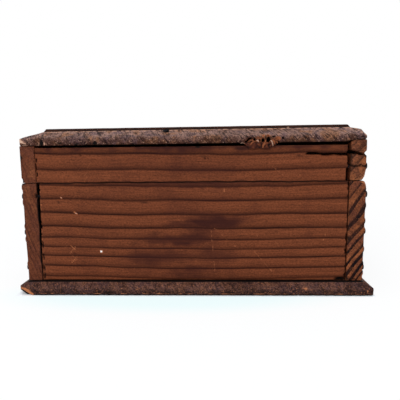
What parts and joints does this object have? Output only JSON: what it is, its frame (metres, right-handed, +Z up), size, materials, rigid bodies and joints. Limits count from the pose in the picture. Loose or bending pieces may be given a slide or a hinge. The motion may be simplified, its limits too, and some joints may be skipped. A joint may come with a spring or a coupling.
{
  "type": "wooden box with hinged lid",
  "caption": "Small nailed wooden box with a projecting bevelled base board and a hinged lid that has a raised field and a shallow rim.",
  "frame": {"origin": "on the surface that the box stands on, under the middle of the base board", "axes": "+X along the box to its right end, -Y out of the front, +Y out of the back where the hinges are, +Z up"},
  "size_m": [0.2388, 0.1608, 0.0758],
  "materials": {
    "board_wood": "reddish brown stain on softwood, worn satin",
    "edge_wood": "grey brown weathered softwood, dull",
    "hinge_brass": "aged and dulled",
    "nail_iron": "dark oxidised iron"
  },
  "bodies": {
    "box": {"base_board": "edge_wood", "front_board": "board_wood", "back_board": "board_wood", "left_end_board": "board_wood", "right_end_board": "board_wood", "left_hinge_body_leaf": "hinge_brass", "left_hinge_pin": "hinge_brass", "right_hinge_body_leaf": "hinge_brass", "right_hinge_pin": "hinge_brass", "front_corner_nails": "nail_iron", "back_corner_nails": "nail_iron", "base_nails": "nail_iron", "left_hinge_body_nails": "hinge_brass", "right_hinge_body_nails": "hinge_brass"},
    "lid": {"lid_board": "edge_wood", "lid_front_rail": "board_wood", "lid_back_rail": "board_wood", "lid_left_end_rail": "board_wood", "lid_right_end_rail": "board_wood", "left_hinge_lid_leaf": "hinge_brass", "right_hinge_lid_leaf": "hinge_brass", "lid_front_corner_nails": "nail_iron", "lid_back_corner_nails": "nail_iron", "lid_board_nails": "nail_iron", "left_hinge_lid_nails": "hinge_brass", "right_hinge_lid_nails": "hinge_brass"}
  },
  "joints": [
    {"name": "lid_hinge", "type": "hinge", "parent": "box", "child": "lid", "pos_m": [0, 0.0784, 0.05095], "axis": [-1, 0, 0], "range_deg": [0, 180]}
  ]
}
